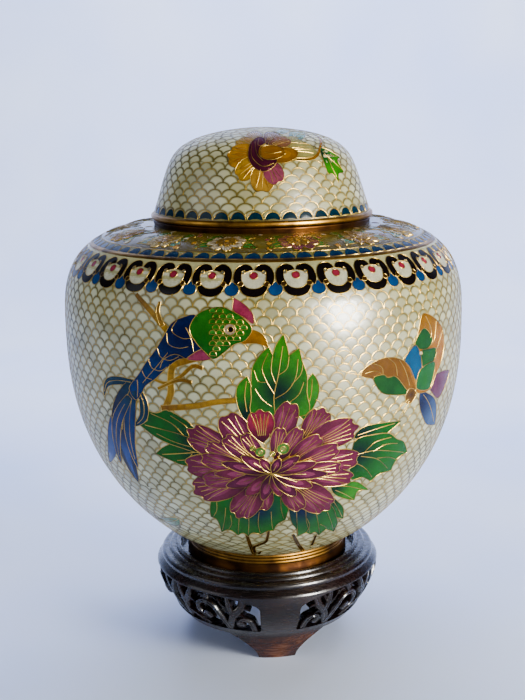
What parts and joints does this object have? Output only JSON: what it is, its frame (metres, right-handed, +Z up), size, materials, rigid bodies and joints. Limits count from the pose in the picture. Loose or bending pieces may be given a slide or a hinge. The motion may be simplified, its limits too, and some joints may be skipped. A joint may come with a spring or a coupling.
{
  "type": "covered enamel jar on a carved stand",
  "caption": "Broad-shouldered covered jar in wire-set enamel with a domed lift-off lid, resting on a pierced, scroll-carved hardwood stand with bracket feet.",
  "frame": {"origin": "on the jar's axis, on the plane that the stand's feet rest on", "axes": "+Z up along the jar's axis, -Y towards the side with the bird and the flower, +X to the right when that side is seen"},
  "size_m": [0.1734, 0.1734, 0.2291],
  "materials": {
    "pearl_enamel": "gloss",
    "picture_enamel": "gloss",
    "gilt_wire": "polished",
    "dark_hardwood": "gloss"
  },
  "bodies": {
    "root": {"jar": "pearl_enamel", "lid": "pearl_enamel", "stand": "dark_hardwood"}
  },
  "joints": []
}
